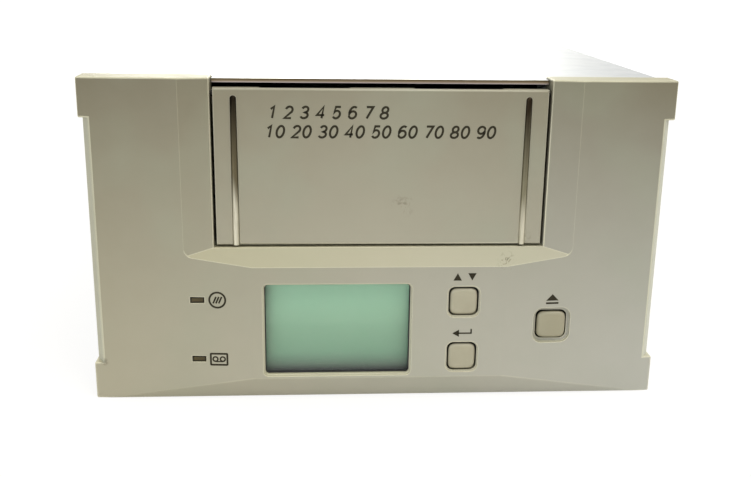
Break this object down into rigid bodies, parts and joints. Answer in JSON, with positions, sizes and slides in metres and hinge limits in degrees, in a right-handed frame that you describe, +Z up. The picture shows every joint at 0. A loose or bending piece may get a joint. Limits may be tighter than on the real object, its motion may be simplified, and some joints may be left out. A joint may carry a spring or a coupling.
{
  "type": "tape autoloader",
  "caption": "Bay-mounted tape autoloader with a flap door, removable cassette magazine, elevator, picker and helical-scan drive inside a sheet-steel chassis.",
  "frame": {"origin": "centre of the footprint, on the plane of the bezel's lower edge", "axes": "+Z up, -Y out of the front face, +X to the right seen from the front"},
  "size_m": [0.149, 0.2132, 0.0845],
  "materials": {
    "bezel_plastic": "fine moulded texture",
    "key_plastic": "fine moulded texture",
    "polished_steel": "polished",
    "clear_lens": "clear",
    "lcd_glass": "semi-gloss display film",
    "zinc_steel": "zinc-plated sheet",
    "board": "solder mask",
    "black_plastic": "moulded",
    "lamp_lens": "tinted lens",
    "lamp": "clear epoxy",
    "magazine_plastic": "moulded",
    "cassette_plastic": "moulded",
    "white_plastic": "acetal",
    "brass": "machined",
    "motor_can": "drawn can",
    "cast_alloy": "die-cast",
    "drum_alloy": "lapped",
    "rubber": "moulded"
  },
  "bodies": {
    "chassis": {"front_bezel": "bezel_plastic", "door_hinge_pin": "polished_steel", "door_spring": "polished_steel", "lcd_window": "clear_lens", "lcd_panel": "lcd_glass", "lcd_frame": "zinc_steel", "control_board": "board", "tact_switches": "black_plastic", "status_lenses": "lamp_lens", "status_leds": "lamp", "board_screws": "zinc_steel", "chassis_tray": "zinc_steel", "top_cover": "zinc_steel", "rear_panel": "zinc_steel", "chassis_screws": "zinc_steel", "magazine_deck": "zinc_steel", "left_rail": "white_plastic", "right_rail": "white_plastic", "eject_motor": "motor_can", "guide_rods": "polished_steel", "elevator_motor": "motor_can", "motor_bracket": "zinc_steel", "elevator_bridge": "zinc_steel", "drive_frame": "cast_alloy", "drive_isolators": "rubber", "lower_drum": "drum_alloy", "capstan_motor": "motor_can", "guide_posts": "polished_steel", "drive_board": "board", "interface_board": "board", "scsi_connector": "black_plastic", "power_connector": "white_plastic", "option_jumpers": "black_plastic"},
    "door": {"magazine_door": "bezel_plastic", "door_skid_strips": "polished_steel"},
    "select_key": {"select_button": "key_plastic"},
    "enter_key": {"enter_button": "key_plastic"},
    "eject_key": {"eject_button": "key_plastic"},
    "magazine": {"magazine_shell": "magazine_plastic", "cassette_1": "cassette_plastic", "cassette_2": "cassette_plastic", "cassette_3": "cassette_plastic", "cassette_4": "cassette_plastic", "cassette_5": "cassette_plastic", "cassette_6": "cassette_plastic"},
    "eject_wheel": {"eject_gear": "white_plastic"},
    "eject_drive": {"eject_pinion": "brass"},
    "elevator": {"elevator_carriage": "zinc_steel"},
    "screw": {"lead_screw": "polished_steel"},
    "lift_drive": {"elevator_pinion": "brass"},
    "picker": {"picker_sled": "white_plastic", "carried_cassette": "cassette_plastic"},
    "drum": {"head_drum": "drum_alloy"},
    "capstan_rotor": {"capstan": "polished_steel"},
    "arm": {"pinch_arm": "zinc_steel"},
    "roller": {"pinch_roller": "rubber"},
    "supply_reel": {"supply_reel_table": "white_plastic"},
    "takeup_reel": {"takeup_reel_table": "white_plastic"},
    "holder": {"cassette_holder": "zinc_steel"}
  },
  "joints": [
    {"name": "select_press", "type": "slide", "parent": "chassis", "child": "select_key", "axis": [0, 1, 0], "range_m": [0, 0.0005], "stiffness_N_per_m": 600},
    {"name": "enter_press", "type": "slide", "parent": "chassis", "child": "enter_key", "axis": [0, 1, 0], "range_m": [0, 0.0005], "stiffness_N_per_m": 600},
    {"name": "eject_press", "type": "slide", "parent": "chassis", "child": "eject_key", "axis": [0, 1, 0], "range_m": [0, 0.0005], "stiffness_N_per_m": 600},
    {"name": "magazine_eject", "type": "slide", "parent": "chassis", "child": "magazine", "axis": [0, -1, 0], "range_m": [0, 0.046]},
    {"name": "door_swing", "type": "hinge", "parent": "chassis", "child": "door", "pos_m": [0, -0.1018, 0.0804], "axis": [-1, 0, 0], "range_deg": [0, 100.2]},
    {"name": "eject_gear_turn", "type": "hinge", "parent": "chassis", "child": "eject_wheel", "pos_m": [0.0488, -0.0316, 0.046], "axis": [0, 0, 1], "range_deg": [0, 293.35]},
    {"name": "eject_motor_turn", "type": "hinge", "parent": "chassis", "child": "eject_drive", "pos_m": [0.06011, -0.02029, 0.046], "axis": [0, 0, 1], "range_deg": [-377.02, 0]},
    {"name": "elevator_lift", "type": "slide", "parent": "chassis", "child": "elevator", "axis": [0, 0, 1], "range_m": [0, 0.045]},
    {"name": "lead_screw_turn", "type": "hinge", "parent": "chassis", "child": "screw", "pos_m": [0.057, 0.0654, 0.007], "axis": [0, 0, 1], "range_deg": [-2700.5, 0]},
    {"name": "lift_motor_turn", "type": "hinge", "parent": "chassis", "child": "lift_drive", "pos_m": [0.06093, 0.08008, 0.007], "axis": [0, 0, 1], "range_deg": [0, 4629.07]},
    {"name": "picker_stroke", "type": "slide", "parent": "elevator", "child": "picker", "axis": [0, -1, 0], "range_m": [0, 0.042]},
    {"name": "holder_lower", "type": "slide", "parent": "chassis", "child": "holder", "axis": [0, 0, -1], "range_m": [0, 0.008]},
    {"name": "drum_spin", "type": "hinge", "parent": "chassis", "child": "drum", "pos_m": [-0.004, -0.0596, 0.01055], "axis": [0.0872, 0, 0.9962], "continuous": true},
    {"name": "capstan_spin", "type": "hinge", "parent": "chassis", "child": "capstan_rotor", "pos_m": [0.024, -0.0376, 0.012], "axis": [0, 0, 1], "continuous": true},
    {"name": "pinch_swing", "type": "hinge", "parent": "chassis", "child": "arm", "pos_m": [0.0418, -0.0368, 0.017], "axis": [0, 0, 1], "range_deg": [0, 26]},
    {"name": "pinch_roller_spin", "type": "hinge", "parent": "arm", "child": "roller", "pos_m": [0.0303, -0.03119, 0.024], "axis": [0, 0, 1], "continuous": true},
    {"name": "supply_reel_spin", "type": "hinge", "parent": "chassis", "child": "supply_reel", "pos_m": [-0.015, 0.0099, 0.012], "axis": [0, 0, 1], "continuous": true},
    {"name": "takeup_reel_spin", "type": "hinge", "parent": "chassis", "child": "takeup_reel", "pos_m": [0.015, 0.0099, 0.012], "axis": [0, 0, 1], "continuous": true}
  ],
  "couplings": [
    {"joint": "door_swing", "follows": "magazine_eject", "rad_per_m": 37.942},
    {"joint": "eject_gear_turn", "follows": "magazine_eject", "rad_per_m": 111.11},
    {"joint": "eject_motor_turn", "follows": "magazine_eject", "rad_per_m": -142.86},
    {"joint": "lead_screw_turn", "follows": "elevator_lift", "rad_per_m": -1047.2},
    {"joint": "lift_motor_turn", "follows": "elevator_lift", "rad_per_m": 1795.2}
  ]
}
